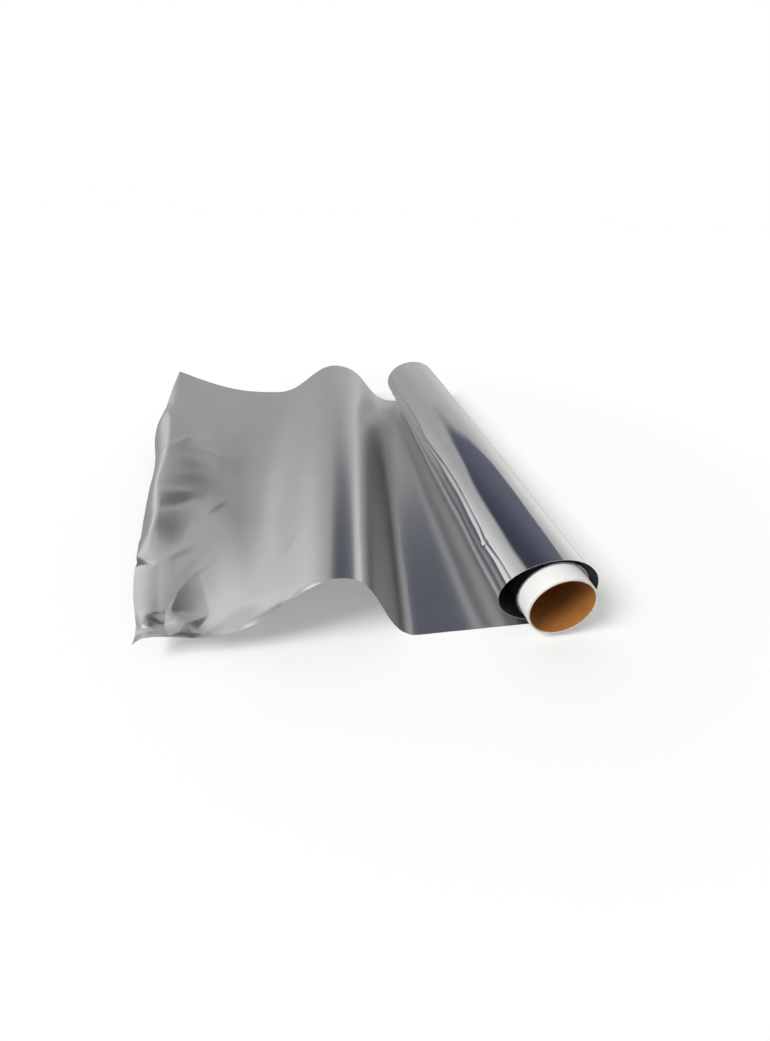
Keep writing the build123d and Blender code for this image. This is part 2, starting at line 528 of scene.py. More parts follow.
def crinkle_tail(sizes, points, edge):
    """Creases, the crumpled corner, the curled near edge and the soft sway of the free end."""
    bottom = len(edge)
    across, place, lift = (points[:bottom, :, n] for n in range(3))
    height = crease_field(edge, place) + net_field(edge, place) + stray_field(sizes, edge, place)
    height += SWAY_HEIGHT * soft_sway(edge, place) * smooth_step(*SWAY_RISE, lift)
    height += lip_fold(across, place)
    height += near_flat(edge, place) + crest_lean(sizes, across, place)
    height *= sizes.crinkle
    curl = np.clip(1 - (place + sizes.foil_width / 2) / CURL_BREADTH, 0, 1) ** 2
    for span, dip in CURLS:
        height -= curl * dip * window(span, edge)
    normals = surface_normals(points)[:bottom]
    points[:bottom] += normals * height[..., None]


# Sway of the loose turn: heights in millimetres, pitch along the roll, twist over the turn and phase
ROLL_SWAYS = ((0.10, 0.019, 2.3, 0.0), (0.16, 0.041, -1.4, 0.8), (0.05, 0.0085, 5.1, 0.0))

# Shares of the turn between which it sways, its strength there, and how much stronger it is between which shares
ROLL_HOLD = (0.06, 0.16, 0.90, 1.05)
ROLL_STRENGTH = 0.35
ROLL_LEFT = (0.58, 0.66, 0.80, 0.90)
ROLL_LEFT_MORE = 0.9

# Nicks in the loose turn: place along the roll, share of the turn, reach and depth in millimetres; the turn's length
ROLL_NICKS = ((-0.1205, 0.682, 1.7, 0.8), (0.118, 0.745, 2.4, 0.2), (0.131, 0.752, 1.8, 0.2))
LOOSE_LENGTH = 0.128


def ripple_roll(points, bottom, share):
    """The outer turn isn't a true round: it sways a little, has one long fold and a few nicks."""
    place = points[bottom:, :, 1]
    turn = share * 2 * math.pi
    sway = np.zeros_like(place)
    for size, pitch, twist, phase in ROLL_SWAYS:
        sway += size * np.sin(place / pitch + twist * turn + phase)
    height = (ROLL_STRENGTH + ROLL_LEFT_MORE * window(ROLL_LEFT, share)) * sway * MM
    height[FOLD_ROW] += GROOVE_DEPTH * (1 - smooth_step(*GROOVE_ENDS, points[bottom, :, 1]))
    for centre, at, reach, dent in ROLL_NICKS:
        away = np.hypot(place - centre, (share - at) * LOOSE_LENGTH) / (reach * MM)
        height += dent * MM * np.clip(1 - away, 0, 1)
    normals = surface_normals(points)[bottom:]
    points[bottom:] += normals * (height * window(ROLL_HOLD, share))[..., None]


# Folds steeper than this stay crisp
SHARP_ANGLE = math.radians(60)


def strip_mesh(name, points, distance, thickness, shade):
    """A closed thin sheet round the strip's middle, bright on the roll's outside and satin inside."""
    rows, cols = points.shape[:2]
    layer = rows * cols
    middle = points.reshape(-1, 3)
    offset = (surface_normals(points) * thickness / 2).reshape(-1, 3)
    vertices = np.concatenate((middle + offset, middle - offset))
    index = np.arange(layer).reshape(rows, cols)
    satin = np.stack((index[:-1, :-1], index[1:, :-1], index[1:, 1:], index[:-1, 1:]), 2).reshape(-1, 4)
    bright = satin[:, ::-1] + layer
    rim = np.concatenate((index[0, ::-1], index[1:, 0], index[-1, 1:], index[-2:0:-1, -1]))
    after = np.roll(rim, -1)
    wall = np.stack((rim, rim + layer, after + layer, after), 1)
    faces = np.concatenate((satin, bright, wall))
    mesh = bpy.data.meshes.new(name)
    mesh.from_pydata(vertices.tolist(), [], faces.tolist())
    strip = np.stack((distance, points[..., 1]), 2).reshape(-1, 2)
    strip = np.concatenate((strip, strip))
    loops = np.empty(len(mesh.loops), dtype=np.int32)
    mesh.loops.foreach_get("vertex_index", loops)
    uv = mesh.uv_layers.new(name="Strip")
    uv.data.foreach_set("uv", strip[loops].astype(np.float32).ravel())
    kinds = np.concatenate((np.zeros(len(satin), np.int32), np.ones(len(bright) + len(wall), np.int32)))
    mesh.polygons.foreach_set("material_index", kinds)
    mesh.polygons.foreach_set("use_smooth", np.ones(len(faces), dtype=bool))
    # Shade painted into the colour along the outer turn's fold and in the pocket at the free edge
    painted_shade = mesh.attributes.new("fold_shade", "FLOAT", "POINT")
    painted_shade.data.foreach_set("value", np.tile(shade.ravel(), 2).astype(np.float32))
    mesh.update()
    mesh.set_sharp_from_angle(angle=SHARP_ANGLE)
    return mesh


class Wiring:
    """Adds nodes to a tree and joins them."""

    def __init__(self, tree):
        self.tree = tree
        self.count = 0

    def give(self, socket, value):
        """Sets a socket to a value, or joins another node's output to it."""
        if isinstance(value, bpy.types.NodeSocket):
            self.tree.links.new(value, socket)
        else:
            socket.default_value = value

    def add(self, kind, settings=None, **inputs):
        """A node of that kind with its settings and inputs; an input is a value or another node's output."""
        node = self.tree.nodes.new(kind)
        node.location = (220 * (self.count % 8), -260 * (self.count // 8))
        self.count += 1
        for name, value in (settings or {}).items():
            setattr(node, name, value)
        for name, value in inputs.items():
            key = int(name[1:]) if name[0] == "_" else name.replace("_", " ")
            self.give(node.inputs[key], value)
        return node

    def math(self, operation, first, second=0.0):
        """One sum of two values."""
        return self.add("ShaderNodeMath", {"operation": operation}, _0=first, _1=second).outputs[0]

    def vector(self, operation, first, output=0, **inputs):
        """One sum of vectors."""
        return self.add("ShaderNodeVectorMath", {"operation": operation}, _0=first, **inputs).outputs[output]

    def ramp(self, value, low, high, to_low=0.0, to_high=1.0):
        """A value brought from one range to another, held at both ends."""
        ends = {"From_Min": low, "From_Max": high, "To_Min": to_low, "To_Max": to_high}
        node = self.add("ShaderNodeMapRange", {"interpolation_type": "SMOOTHSTEP"}, Value=value, **ends)
        return node.outputs["Result"]

    def mix(self, share, first, second, blend="MIX"):
        """A colour between two others."""
        settings = {"data_type": "RGBA", "blend_type": blend}
        return self.add("ShaderNodeMix", settings, _0=share, _6=first, _7=second).outputs[2]

    def place(self, output="Object"):
        """The place or direction that the tree is worked out for."""
        return self.add("ShaderNodeTexCoord").outputs[output]

    def parts(self, vector):
        """A vector's x, y and z."""
        return self.add("ShaderNodeSeparateXYZ", _0=vector).outputs


def shader_group(name, inputs, outputs, build):
    """The shader group of that name with its named sockets, built when it is first asked for.

    build takes the group's wiring and its inputs, and gives the values for its outputs.
    """
    tree = bpy.data.node_groups.get(name)
    if tree is not None:
        return tree
    tree = bpy.data.node_groups.new(name, "ShaderNodeTree")
    for label, default in inputs.items():
        kind = "NodeSocketVector" if default is None else "NodeSocketFloat"
        socket = tree.interface.new_socket(name=label, in_out="INPUT", socket_type=kind)
        if default is not None:
            socket.default_value = default
    for label in outputs:
        tree.interface.new_socket(name=label, in_out="OUTPUT", socket_type="NodeSocketFloat")
    w = Wiring(tree)
    values = build(w, w.add("NodeGroupInput").outputs)
    w.add("NodeGroupOutput", **dict(zip(outputs, values)))
    return tree


def rolling_lines():
    """Fine lines that the rolling mill leaves along the strip, and soft clouds of gloss."""

    def build(w, given):
        x, y, _ = w.parts(given["Strip"])
        crosswise = w.math("MULTIPLY", w.math("MULTIPLY", y, 900.0), given["Fineness"])
        drawn = w.add("ShaderNodeCombineXYZ", X=w.math("MULTIPLY", x, 6.0), Y=crosswise).outputs[0]
        lines = w.add("ShaderNodeTexNoise", Vector=drawn, Scale=1.0, Detail=3.0, Roughness=0.6)
        cloud = w.add("ShaderNodeTexNoise", Vector=given["Strip"], Scale=38.0, Detail=4.0, Roughness=0.55)
        return lines.outputs["Fac"], cloud.outputs["Fac"]

    return shader_group("Rolling lines", {"Strip": None, "Fineness": 1.0}, ("Line", "Cloud"), build)


def fine_creases():
    """Hair-fine creases that handling leaves in foil, in patches."""

    def build(w, given):
        bend = w.add("ShaderNodeTexNoise", Vector=given["Strip"], Scale=30.0, Detail=2.0)
        shift = w.vector("SCALE", bend.outputs["Color"], Scale=0.03)
        moved = w.vector("ADD", given["Strip"], _1=shift)
        settings = {"feature": "DISTANCE_TO_EDGE"}
        cells = w.add("ShaderNodeTexVoronoi", settings, Vector=moved, Scale=given["Spacing"])
        line = w.ramp(cells.outputs["Distance"], 0.0, 0.10, 1.0, 0.0)
        patch = w.add("ShaderNodeTexNoise", Vector=given["Strip"], Scale=17.0, Detail=2.0)
        where = w.ramp(patch.outputs["Fac"], w.math("SUBTRACT", 1.0, given["Cover"]), 1.0)
        return (w.math("MULTIPLY", line, where),)

    return shader_group("Fine creases", {"Strip": None, "Spacing": 40.0, "Cover": 0.5}, ("Height",), build)


def paper_fibre():
    """Fibres and flecks of paper and board."""

    def build(w, given):
        settings = {"Detail": 5.0, "Roughness": 0.65, "Distortion": 0.8}
        fibre = w.add("ShaderNodeTexNoise", Vector=given["Place"], Scale=given["Scale"], **settings)
        mottle = w.add("ShaderNodeTexNoise", Vector=given["Place"], Scale=130.0, Detail=4.0)
        return fibre.outputs["Fac"], mottle.outputs["Fac"]

    return shader_group("Paper fibre", {"Place": None, "Scale": 900.0}, ("Fibre", "Mottle"), build)


def blank_material(name):
    """A material with nothing but its output."""
    material = bpy.data.materials.new(name)
    material.use_nodes = True
    material.node_tree.nodes.clear()
    w = Wiring(material.node_tree)
    return material, w, w.add("ShaderNodeOutputMaterial").inputs["Surface"]


def new_material(name):
    """A material with a Principled shader."""
    material, w, surface = blank_material(name)
    shader = w.add("ShaderNodeBsdfPrincipled")
    w.give(surface, shader.outputs[0])
    return material, w, shader.inputs


def scaled(base, share):
    """A colour made darker or paler."""
    return (*(min(part * share, 1) for part in base), 1)


# Foil's darkest and palest clouds and the shade painted into its folds, as shares of its colour; how much of a fold
# is painted shade
CLOUD_SHARES = (0.94, 1.04)
SHADE_SHARE = 0.12
SHADE_COVER = 0.85

# Depth of the rolling lines, of the hair-fine creases and of the paper's fibres
LINE_DEPTH = 0.00002
CREASE_DEPTH = 0.0002
FIBRE_DEPTH = 0.00006


def foil_side(name, base, roughness, spread, fineness, relief, crease_relief, cover, anisotropic):
    """One side of the foil: metal with rolling lines, cloudy gloss and hair-fine creases."""
    material, w, shader = new_material(name)
    strip = w.add("ShaderNodeUVMap", {"uv_map": "Strip"}).outputs[0]
    lines = w.add("ShaderNodeGroup", {"node_tree": rolling_lines()}, Strip=strip, Fineness=fineness).outputs
    creases = w.add("ShaderNodeGroup", {"node_tree": fine_creases()}, Strip=strip, Cover=cover).outputs
    cloudy = w.mix(lines["Cloud"], *(scaled(base, share) for share in CLOUD_SHARES))
    # Painted shade: fold_shade darkens the colour along the outer turn's fold and in the pocket at the free edge
    painted_shade = w.add("ShaderNodeAttribute", {"attribute_name": "fold_shade"}).outputs["Fac"]
    shaded = w.mix(w.math("MULTIPLY", painted_shade, SHADE_COVER), cloudy, scaled(base, SHADE_SHARE))
    w.give(shader["Base Color"], shaded)
    w.give(shader["Roughness"], w.ramp(lines["Line"], 0.3, 0.7, roughness - spread, roughness + spread))
    w.give(shader["Metallic"], 1.0)
    w.give(shader["Anisotropic"], anisotropic)
    w.give(shader["Anisotropic Rotation"], 0.25)
    if anisotropic:
        tangent = w.add("ShaderNodeTangent", {"direction_type": "UV_MAP", "uv_map": "Strip"})
        w.give(shader["Tangent"], tangent.outputs[0])
    fine = w.add("ShaderNodeBump", Strength=relief, Distance=LINE_DEPTH, Height=lines["Line"]).outputs[0]
    bump = {"Strength": crease_relief, "Distance": CREASE_DEPTH, "Height": creases["Height"], "Normal": fine}
    w.give(shader["Normal"], w.add("ShaderNodeBump", **bump).outputs[0])
    return material


# Spiral seam of the core: its pitch along the tube and its width as a share of that pitch
SEAM_PITCH = 0.085
SEAM_WIDTH = 0.006


def paper_side(name, base, dark, roughness, scale, seam, grain):
    """Paper or board of the core, with fibres, mottle and the seam of its spiral winding."""
    material, w, shader = new_material(name)
    group = {"node_tree": paper_fibre()}
    fibre = w.add("ShaderNodeGroup", group, Place=w.place(), Scale=scale).outputs
    flecks = w.math("ADD", fibre["Fibre"], w.math("MULTIPLY", fibre["Mottle"], 0.8))
    tint = w.mix(w.ramp(flecks, 0.62, 1.16), scaled(base, dark), scaled(base, 1.05))
    around, lengthwise, _ = w.parts(w.add("ShaderNodeUVMap", {"uv_map": "Wound"}).outputs[0])
    slope = w.math("FRACT", w.math("SUBTRACT", around, w.math("DIVIDE", lengthwise, SEAM_PITCH)))
    groove = w.ramp(w.math("ABSOLUTE", w.math("SUBTRACT", slope, 0.5)), 0.0, SEAM_WIDTH, 1.0, 0.0)
    w.give(shader["Base Color"], w.mix(w.math("MULTIPLY", groove, seam), tint, scaled(base, 0.55)))
    w.give(shader["Roughness"], roughness)
    w.give(shader["Specular IOR Level"], 0.35)
    relief = w.math("SUBTRACT", fibre["Fibre"], w.math("MULTIPLY", groove, 1.5))
    bump = w.add("ShaderNodeBump", Strength=grain, Distance=FIBRE_DEPTH, Height=relief)
    w.give(shader["Normal"], bump.outputs[0])
    return material


# Share of the core's wall that is brown board, the rest is white paper
BOARD_SHARE = 0.3

# The core's broken edges, as their radius and steps, its rings along and points around, and how far it is out of
# round and where
EDGE_EASE = 0.00018
EDGE_STEPS = 4
TUBE_RINGS = 40
TUBE_AROUND = 144
TUBE_SAG = 0.004
TUBE_SAG_TURN = 0.5

# Places of the core's materials in its list
WHITE, BROWN, CUT = range(3)


def tube_end(sizes, place, sign):
    """The core's wall at one end, from the bore outwards: radius and place along the roll of each point."""
    bore = sizes.core_bore / 2
    out = bore + sizes.core_wall
    leans = [step / (EDGE_STEPS - 1) * math.pi / 2 for step in range(EDGE_STEPS)]
    edge = []
    for radius, turned, order in ((bore + EDGE_EASE, -1, leans[::-1]), (out - EDGE_EASE, 1, leans)):
        for lean in order:
            across = radius + turned * EDGE_EASE * math.sin(lean)
            edge.append((across, place + sign * EDGE_EASE * (1 - math.cos(lean))))
    edge.insert(EDGE_STEPS, (bore + BOARD_SHARE * sizes.core_wall, place))
    return edge


def tube_mesh(name, sizes):
    """The paper core: a wound tube with softly broken edges at both ends."""
    bore = sizes.core_bore / 2
    out = bore + sizes.core_wall
    near, far = sizes.core_near, sizes.core_far
    middle = np.linspace(near + 3 * EDGE_EASE, far - 3 * EDGE_EASE, TUBE_RINGS)
    profile = [*tube_end(sizes, near, 1), *((out, y) for y in middle)]
    profile += [*tube_end(sizes, far, -1)[::-1], *((bore, y) for y in middle[::-1])]
    board, cut = [BROWN] * EDGE_STEPS, [CUT] * EDGE_STEPS
    kinds = board + cut + [WHITE] * (TUBE_RINGS + 1) + cut + board + [BROWN] * (TUBE_RINGS + 1)
    angle = np.arange(TUBE_AROUND) / TUBE_AROUND * 2 * math.pi
    vertices, faces, winding = [], [], []
    for across, y in profile:
        sag = 1 + TUBE_SAG * np.cos(2 * angle + TUBE_SAG_TURN) * (across / out)
        x = across * sag * np.sin(angle)
        z = sizes.axis_height + across * sag * np.cos(angle)
        vertices += list(zip(x, np.full(TUBE_AROUND, y), z))
    for n in range(len(profile)):
        following = (n + 1) % len(profile)
        for k in range(TUBE_AROUND):
            corners = ((n, k), (following, k), (following, k + 1), (n, k + 1))
            faces.append([row * TUBE_AROUND + spot % TUBE_AROUND for row, spot in corners])
            winding += [(spot / TUBE_AROUND, profile[row][1]) for row, spot in corners]
    mesh = bpy.data.meshes.new(name)
    mesh.from_pydata(vertices, [], faces)
    uv = mesh.uv_layers.new(name="Wound")
    uv.data.foreach_set("uv", np.array(winding, dtype=np.float32).ravel())
    mesh.polygons.foreach_set("material_index", np.repeat(kinds, TUBE_AROUND).astype(np.int32))
    mesh.polygons.foreach_set("use_smooth", np.ones(len(faces), dtype=bool))
    mesh.update()
    return mesh


def put(name, mesh, materials):
    """A mesh object in the scene with its materials."""
    piece = bpy.data.objects.new(name, mesh)
    for material in materials:
        mesh.materials.append(material)
    bpy.context.scene.collection.objects.link(piece)
    return piece


# Papers of the core: shade of their flecks, roughness, fineness of the fibres, strength of the seam and of the grain
WHITE_PAPER = {"dark": 0.97, "roughness": 0.62, "scale": 700.0, "seam": 0.25, "grain": 0.10}
BROWN_BOARD = {"dark": 0.84, "roughness": 0.75, "scale": 520.0, "seam": 0.6, "grain": 0.20}
CUT_EDGE = {"dark": 0.90, "roughness": 0.85, "scale": 1400.0, "seam": 0.0, "grain": 0.25}

# How much of the brown board's colour the cut edge has
CUT_EDGE_BROWN = 0.1


class FOILROLL_OT_core(bpy.types.Operator):
    """Builds the paper core tube: white outside, brown board inside."""

    bl_idname = "foil_roll.core"
    bl_label = "Build paper core"

    def execute(self, context):
        sizes = context.scene.foil_roll_sizes
        finish = context.scene.foil_roll_finish
        pairs = zip(finish.paper_colour, finish.board_colour)
        cut_colour = [(1 - CUT_EDGE_BROWN) * white + CUT_EDGE_BROWN * brown for white, brown in pairs]
        materials = (
            paper_side("Core white paper", finish.paper_colour, **WHITE_PAPER),
            paper_side("Core brown board", finish.board_colour, **BROWN_BOARD),
            paper_side("Core cut edge", cut_colour, **CUT_EDGE),
        )
        core = put("paper_core", tube_mesh("paper_core", sizes), materials)
        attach(core, "root")
        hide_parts("core_tube")
        return {"FINISHED"}


# Small pocket at the free edge, where the foil is folded under, its shade painted into the colour: its corners as
# distance from the edge and place
POCKET = ((-0.001, -0.0905), (0.0065, -0.1010), (-0.001, -0.1005))

# How softly the pocket's painted shade fades at its sides
POCKET_FADE = 0.0006


def pocket_shade(edge, place):
    """1 where shade is painted into the pocket, 0 outside it."""
    inside = np.ones_like(edge)
    for (e0, p0), (e1, p1) in zip(POCKET, (*POCKET[1:], POCKET[0])):
        side = (e1 - e0) * (place - p0) - (p1 - p0) * (edge - e0)
        inside *= smooth_step(-POCKET_FADE, POCKET_FADE, -side / math.hypot(e1 - e0, p1 - p0))
    return inside


# Sides of the foil: how much the roughness varies, fineness of the rolling lines, relief of the lines and of the
# hair-fine creases, how much of the foil those creases cover, and how far reflections are drawn out along the strip
SATIN_SIDE = {
    "spread": 0.002, "fineness": 1.0, "relief": 0.0, "crease_relief": 0.01, "cover": 0.42, "anisotropic": 0.3
}
BRIGHT_SIDE = {
    "spread": 0.015, "fineness": 1.4, "relief": 0.04, "crease_relief": 0.04, "cover": 0.42, "anisotropic": 0.0
}


class FOILROLL_OT_foil(bpy.types.Operator):
    """Winds the foil on the core and draws out its waved, crinkled free end."""

    bl_idname = "foil_roll.foil"
    bl_label = "Wind foil"

    def execute(self, context):
        sizes = context.scene.foil_roll_sizes
        finish = context.scene.foil_roll_finish
        points, distance, bottom = lay_strip(sizes)
        shade = np.zeros(distance.shape)
        # Painted shade along the outer turn's fold line, on top of its shallow groove
        shade[bottom + FOLD_ROW] = 1 - smooth_step(*FOLD_SHADE_ENDS, points[bottom, :, 1])
        # Painted shade in the pocket at the free edge, on top of the shallow dent there
        shade[:bottom] = pocket_shade(edge_distance(points[:bottom]), points[:bottom, :, 1])
        satin = foil_side("Foil satin side", finish.satin_colour, finish.satin_roughness, **SATIN_SIDE)
        bright = foil_side("Foil bright side", finish.bright_colour, finish.bright_roughness, **BRIGHT_SIDE)
        mesh = strip_mesh("foil_strip", points, distance, sizes.foil_thickness, shade)
        foil = put("foil_strip", mesh, (satin, bright))
        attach(foil, "root")
        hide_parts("foil")
        return {"FINISHED"}


def heading(azimuth, elevation):
    """A direction from degrees: azimuth 0 looks along the roll to its far end, 90 to the right."""
    az, el = math.radians(azimuth), math.radians(elevation)
    return (math.sin(az) * math.cos(el), math.cos(az) * math.cos(el), math.sin(el))


# Lit patches of the tent: direction, where the light starts to fall off and where it ends (degrees), strength
TENT_PATCHES = (
    (heading(62, -12), 12, 62, 0.48),
    (heading(-30, 52), 8, 28, 0.08),
    (heading(-58, 18), 8, 38, 0.36),
    (heading(-85, 5), 8, 28, -0.14),
    (heading(10, 12), 8, 22, 0.08),
    (heading(-115, 45), 7, 23, 1.0),
    (heading(180, 25), 20, 90, 0.12),
)
TENT_BASE = (0.384, 0.382, 0.374)
TENT_WARMTH = (1.0, 0.995, 0.965)

# Unlit part of the tent: the slant of its left side and the elevation it is measured from, then where it starts and
# ends in azimuth and in elevation, each with its fade
TENT_GAP_SLANT = (1.2, 33)
TENT_GAP_LEFT = (-11, -2)
TENT_GAP_RIGHT = (5, 13)
TENT_GAP_LOW = (25, 33)
TENT_GAP_HIGH = (34, 42)
TENT_GAP_COLOUR = (0.170, 0.178, 0.205)
# The tent's dome: its radius and its points around and upwards
TENT_RADIUS = 1.1
DOME_AROUND = 48
DOME_UP = 14

# Dark flag that hangs behind the roll, seen only in reflections: place along the roll, its outline as x and height,
# and how softly each point's edge fades
FLAG_PLACE = 0.25
FLAG_OUTLINE = (
    (0.000, 0.178, 0.030), (0.085, 0.176, 0.020), (0.165, 0.186, 0.010), (0.219, 0.226, 0.008),
    (0.278, 0.316, 0.008), (0.350, 0.450, 0.010), (0.450, 0.650, 0.020), (0.450, 0.900, 0.040),
    (-0.330, 0.900, 0.200), (-0.260, 0.620, 0.160), (-0.200, 0.480, 0.110), (-0.165, 0.385, 0.070),
    (-0.125, 0.300, 0.045), (-0.085, 0.245, 0.035), (-0.045, 0.210, 0.030),
)
FLAG_DARK = (0.045, 0.050, 0.074)
FLAG_LIGHT = (0.125, 0.135, 0.175)

# The flag is paler to the right and lower down: the distances that count alike, and where it starts and ends
FLAG_PALER_RUN = (0.35, 0.5)
FLAG_PALER = (-1.1, 0.1)

# Grey sweep that lies round the roll, seen only in reflections: its level behind, to the right and in front on the
# right, the azimuths between which it changes, the clear rectangle in its middle and its fade
SWEEP_LEVELS = (0.34, 0.67, 0.84)
SWEEP_TURNS = (-10, 40, 140)
SWEEP_CENTRE = (-0.088, 0.0)
SWEEP_CLEAR = (0.102, 0.148)
SWEEP_FADE = 0.015
SWEEP_HEIGHT = 0.00005


def seen_flags(w):
    """1 for what the camera, a reflection or a see-through sees, 0 for what only lights the scene."""
    path = w.add("ShaderNodeLightPath").outputs
    seen = w.math("MAXIMUM", path["Is Camera Ray"], path["Is Glossy Ray"])
    return w.math("MAXIMUM", seen, path["Is Transmission Ray"])


def only_reflected(thing):
    """The thing shows in reflections and nowhere else."""
    thing.visible_camera = False
    thing.visible_diffuse = False
    thing.visible_shadow = False
    thing.visible_volume_scatter = False


def emitter(name):
    """A material that only gives light."""
    material, w, surface = blank_material(name)
    return material, w, w.add("ShaderNodeEmission", Strength=1.0), surface


# The floor runs to pure white between these distances from the roll, by this much more lift
FLOOR_RUN = (0.16, 0.34)
FLOOR_FAR_LIFT = 0.06
FLOOR_TINT = (1, 1, 0.995, 1)

# Half the floor's breadth, and the heights of a direction between which the light round the scene grows
FLOOR_REACH = 6
AMBIENT_RISE = (-0.1, 0.9)


def floor_material(stage):
    """Matt white floor that shows white and keeps the shadow."""
    material, w, surface = blank_material("Studio floor")
    matt = w.add("ShaderNodeBsdfDiffuse", Color=(*stage.floor_colour, 1)).outputs[0]
    away = w.vector("LENGTH", w.place(), "Value")
    level = w.ramp(away, *FLOOR_RUN, stage.floor_lift, stage.floor_lift + FLOOR_FAR_LIFT)
    strength = w.math("MULTIPLY", seen_flags(w), level)
    lift = w.add("ShaderNodeEmission", Color=FLOOR_TINT, Strength=strength).outputs[0]
    w.give(surface, w.add("ShaderNodeAddShader", _0=matt, _1=lift).outputs[0])
    return material


def angle_ramp(w, value, limits, to_low=0.0, to_high=1.0):
    """A ramp over an angle, between two limits in degrees."""
    return w.ramp(value, *(math.radians(limit) for limit in limits), to_low, to_high)


def tent_material():
    """Inside of the light tent, by the direction its light comes from: grey cloth with bright panels."""
    material, w, light, surface = emitter("Light tent")
    facing = w.vector("NORMALIZE", w.place())
    total = 0.0
    for direction, inner, outer, strength in TENT_PATCHES:
        angle = w.math("ARCCOSINE", w.vector("DOT_PRODUCT", facing, "Value", _1=direction))
        total = w.math("ADD", total, angle_ramp(w, angle, (inner, outer), strength, 0.0))
    red, green, blue = (w.math("MULTIPLY", total, share) for share in TENT_WARMTH)
    level = w.add("ShaderNodeCombineColor", Red=red, Green=green, Blue=blue).outputs[0]
    lit = w.mix(1.0, (*TENT_BASE, 1), level, "ADD")
    x, y, z = w.parts(facing)
    azimuth, elevation = w.math("ARCTAN2", x, y), w.math("ARCSINE", z)
    slant, middle = TENT_GAP_SLANT
    lean = w.math("MULTIPLY", w.math("SUBTRACT", elevation, math.radians(middle)), slant)
    left = angle_ramp(w, w.math("ADD", azimuth, lean), TENT_GAP_LEFT)
    right = angle_ramp(w, azimuth, TENT_GAP_RIGHT, 1.0, 0.0)
    low = angle_ramp(w, elevation, TENT_GAP_LOW)
    high = angle_ramp(w, elevation, TENT_GAP_HIGH, 1.0, 0.0)
    unlit = w.math("MULTIPLY", w.math("MULTIPLY", left, right), w.math("MULTIPLY", low, high))
    w.give(light.inputs["Color"], w.mix(unlit, lit, (*TENT_GAP_COLOUR, 1)))
    w.give(surface, light.outputs[0])
    return material


def sweep_material():
    """The tent's cloth on the floor, clear round the roll so that its shadow shows."""
    material, w, light, surface = emitter("Grey sweep")
    x, y, _ = w.parts(w.place())
    azimuth = w.math("ARCTAN2", x, y)
    behind, right, front = SWEEP_TURNS
    first = angle_ramp(w, azimuth, (behind, right), SWEEP_LEVELS[0], SWEEP_LEVELS[1])
    second = angle_ramp(w, azimuth, (right, front), 0.0, SWEEP_LEVELS[2] - SWEEP_LEVELS[1])
    w.give(light.inputs["Strength"], w.math("ADD", first, second))
    beyond = []
    for value, centre, reach in zip((x, y), SWEEP_CENTRE, SWEEP_CLEAR):
        away = w.math("ABSOLUTE", w.math("SUBTRACT", value, centre))
        outside = w.math("MAXIMUM", w.math("SUBTRACT", away, reach), 0.0)
        beyond.append(w.math("MULTIPLY", outside, outside))
    cover = w.ramp(w.math("SQRT", w.math("ADD", *beyond)), 0.0, SWEEP_FADE)
    fade_out(w, cover, light, surface)
    return material


def flag_material():
    """Dark blue cloth, paler to the right, that fades out at its edges."""
    material, w, light, surface = emitter("Dark flag")
    x, _, z = w.parts(w.place())
    sideways, upward = (w.math("DIVIDE", value, run) for value, run in zip((x, z), FLAG_PALER_RUN))
    paler = w.ramp(w.math("SUBTRACT", sideways, upward), *FLAG_PALER)
    w.give(light.inputs["Color"], w.mix(paler, (*FLAG_DARK, 1), (*FLAG_LIGHT, 1)))
    cover = w.add("ShaderNodeAttribute", {"attribute_name": "cover"}).outputs["Fac"]
    fade_out(w, w.ramp(cover, 0.0, 1.0), light, surface)
    return material


def fade_out(w, cover, light, surface):
    """Lets what lies behind show through where the cover is less than 1."""
    clear = w.add("ShaderNodeBsdfTransparent")
    both = w.add("ShaderNodeMixShader", _0=cover, _1=clear.outputs[0], _2=light.outputs[0])
    w.give(surface, both.outputs[0])


def dome_mesh():
    """Upper half of a ball, standing on the floor."""
    vertices, faces = [], []
    for row in range(DOME_UP):
        lift = row / DOME_UP * math.pi / 2
        reach, height = TENT_RADIUS * math.cos(lift), TENT_RADIUS * math.sin(lift)
        for k in range(DOME_AROUND):
            turn = k / DOME_AROUND * 2 * math.pi
            vertices.append((reach * math.cos(turn), reach * math.sin(turn), height))
    top = len(vertices)
    vertices.append((0, 0, TENT_RADIUS))
    for low in range(0, top, DOME_AROUND):
        high = low + DOME_AROUND
        for k in range(DOME_AROUND):
            beside = (k + 1) % DOME_AROUND
            upper = (top,) if high == top else (high + k, high + beside)
            faces.append((low + k, *upper, low + beside))
    mesh = bpy.data.meshes.new("light_tent")
    mesh.from_pydata(vertices, [], faces)
    return mesh


def flag_mesh():
    """The flag's outline with a faded border."""
    outline = np.array([(x, z) for x, z, _ in FLAG_OUTLINE])
    fade = np.array([f for _, _, f in FLAG_OUTLINE])
    forward = unit(np.roll(outline, -1, 0) - outline)
    backward = unit(outline - np.roll(outline, 1, 0))
    edgewise = unit(forward + backward)
    border = np.stack((edgewise[:, 1], -edgewise[:, 0]), 1) * fade[:, None] / 2
    count = len(outline)
    vertices = [(x, FLAG_PLACE, z) for x, z in (*(outline - border), *(outline + border))]
    faces = [tuple(range(count))]
    for n in range(count):
        following = (n + 1) % count
        faces.append((n, n + count, following + count, following))
    mesh = bpy.data.meshes.new("dark_flag")
    mesh.from_pydata(vertices, [], faces)
    cover = mesh.attributes.new("cover", "FLOAT", "POINT")
    cover.data.foreach_set("value", [1.0] * count + [0.0] * count)
    return mesh


def level_square(name, reach, height):
    """A level square round the origin."""
    corners = ((-reach, -reach), (reach, -reach), (reach, reach), (-reach, reach))
    mesh = bpy.data.meshes.new(name)
    mesh.from_pydata([(x, y, height) for x, y in corners], [], [(0, 1, 2, 3)])
    return mesh


# The camera's sensor, in millimetres, and the nearest that it sees
SENSOR_WIDTH = 36.0
NEAREST = 0.005


